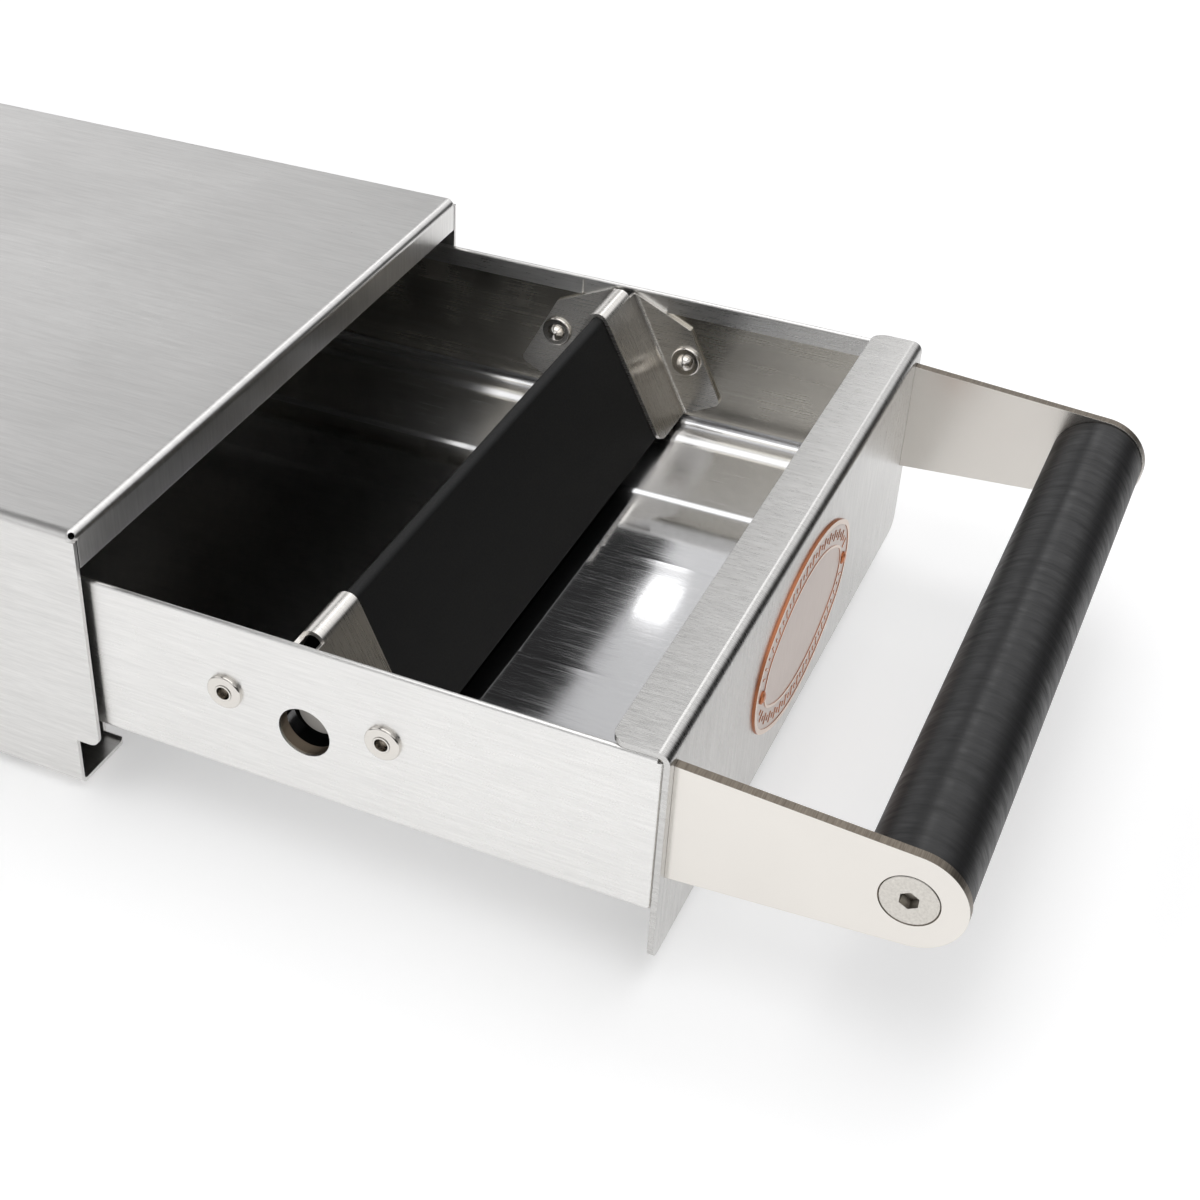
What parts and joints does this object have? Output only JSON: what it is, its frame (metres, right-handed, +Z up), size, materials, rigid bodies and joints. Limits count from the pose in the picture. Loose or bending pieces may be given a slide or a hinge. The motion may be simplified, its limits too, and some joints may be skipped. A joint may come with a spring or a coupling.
{
  "type": "knock box drawer",
  "caption": "Low folded-steel drawer unit for spent coffee: an open drawer with a rubber knock bar across it and a round bow handle slides out of the housing.",
  "frame": {"origin": "middle of the ground rectangle that the whole object covers with the drawer pulled out as pictured, on the ground under the rubber feet", "axes": "+Z up; -Y towards the handle, the way the drawer pulls out; +X to the right of a person who faces the handle"},
  "size_m": [0.2128, 0.5494, 0.0845],
  "materials": {
    "brushed_sheet": "brushed",
    "tray_sheet": "brushed",
    "satin_bar": "satin",
    "bright_fasteners": "polished",
    "grip_rubber": "satin",
    "bar_rubber": "satin",
    "foot_rubber": "matte",
    "glide_plastic": "matte",
    "badge_metal": "satin"
  },
  "bodies": {
    "housing": {"housing_shell": "brushed_sheet", "rear_panel": "brushed_sheet", "rear_panel_rivets": "bright_fasteners", "rubber_feet": "foot_rubber", "rear_bumpers": "foot_rubber", "glide_left": "glide_plastic", "glide_right": "glide_plastic"},
    "drawer": {"drawer_box": "tray_sheet", "floor_pan": "tray_sheet", "front_plate": "brushed_sheet", "plate_nuts": "bright_fasteners", "badge": "badge_metal", "badge_pins": "badge_metal", "handle_arm_left": "satin_bar", "handle_arm_right": "satin_bar", "grip_tube": "grip_rubber", "grip_plug_left": "satin_bar", "grip_plug_right": "satin_bar", "handle_screws": "bright_fasteners", "bar_bracket_left": "tray_sheet", "bar_bracket_right": "tray_sheet", "bar_rivets": "bright_fasteners", "bar_collars": "tray_sheet", "knock_bar_cover": "bar_rubber", "knock_bar_rod": "satin_bar"}
  },
  "joints": [
    {"name": "drawer_slide", "type": "slide", "parent": "housing", "child": "drawer", "axis": [0, -1, 0], "range_m": [-0.152, 0.05]}
  ]
}
